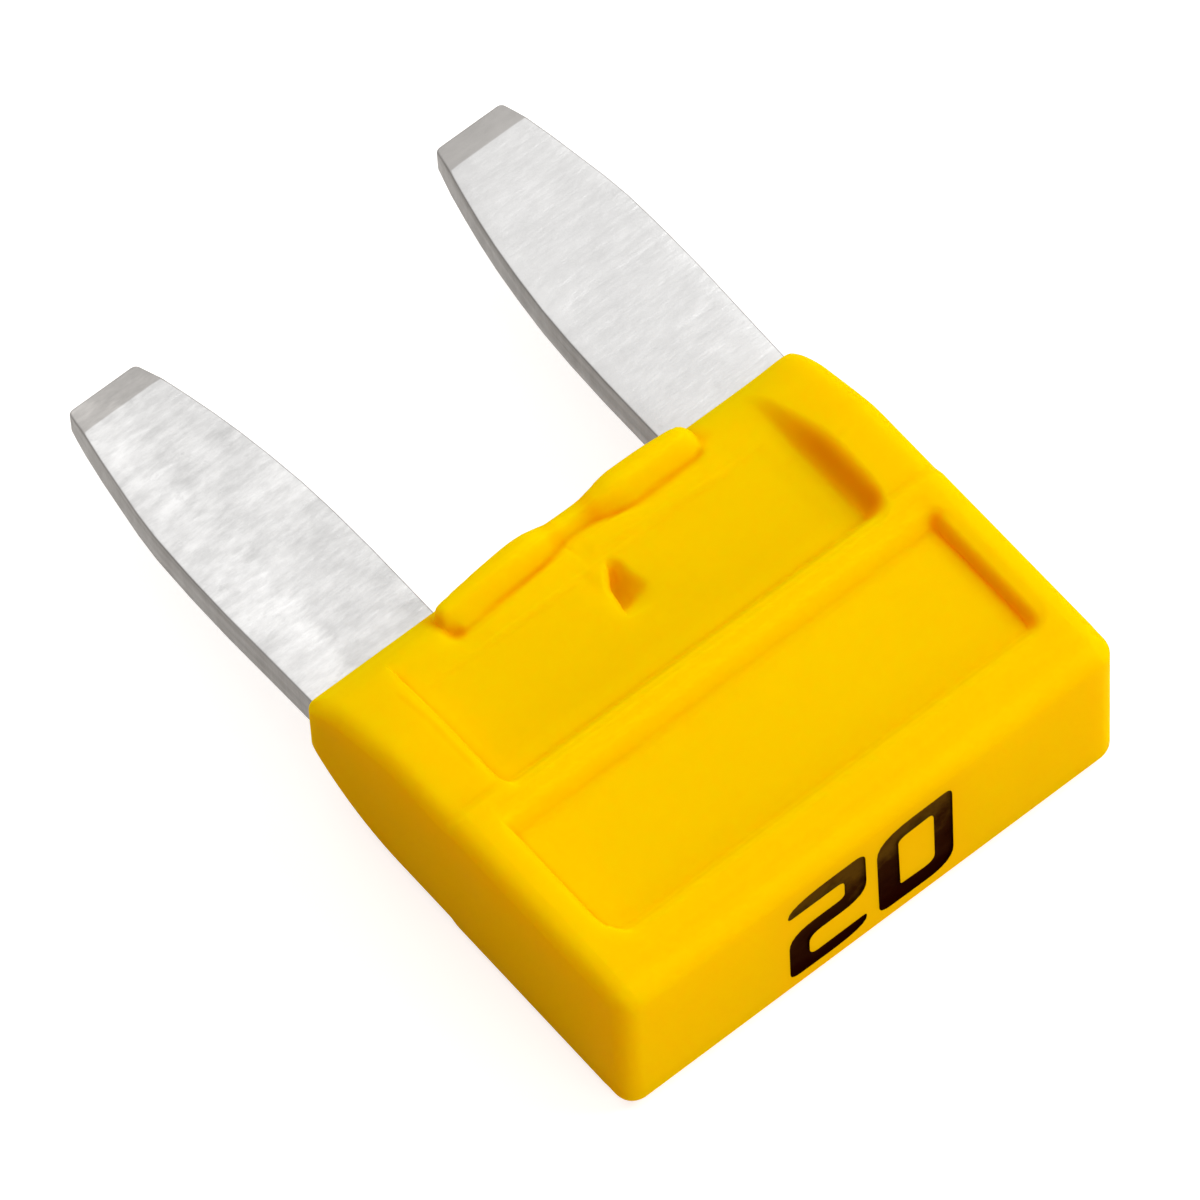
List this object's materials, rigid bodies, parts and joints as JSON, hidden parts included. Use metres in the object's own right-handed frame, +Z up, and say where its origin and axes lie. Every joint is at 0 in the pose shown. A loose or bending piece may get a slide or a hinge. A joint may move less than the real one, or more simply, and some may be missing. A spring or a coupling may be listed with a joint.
{
  "type": "mini blade fuse",
  "caption": "Flat plug-in fuse: a yellow moulded housing holds a stamped metal element with two parallel blades and a hidden melting link.",
  "frame": {"origin": "middle of the box of the whole part, on the underside of the housing", "axes": "+Y from the number end towards the blade tips, +X across the blades, +Z up through the broad faces"},
  "size_m": [0.011, 0.016, 0.0038],
  "materials": {
    "yellow_plastic": "smooth moulded thermoplastic, satin, slightly translucent",
    "tinned_metal": "tin-plated zinc alloy, dull satin with fine cross streaks, grey cut edges",
    "black_ink": "hot-stamped black ink, slightly glossy"
  },
  "bodies": {
    "root": {"housing": "yellow_plastic", "fuse_element": "tinned_metal", "rating_digits": "black_ink"}
  },
  "joints": []
}
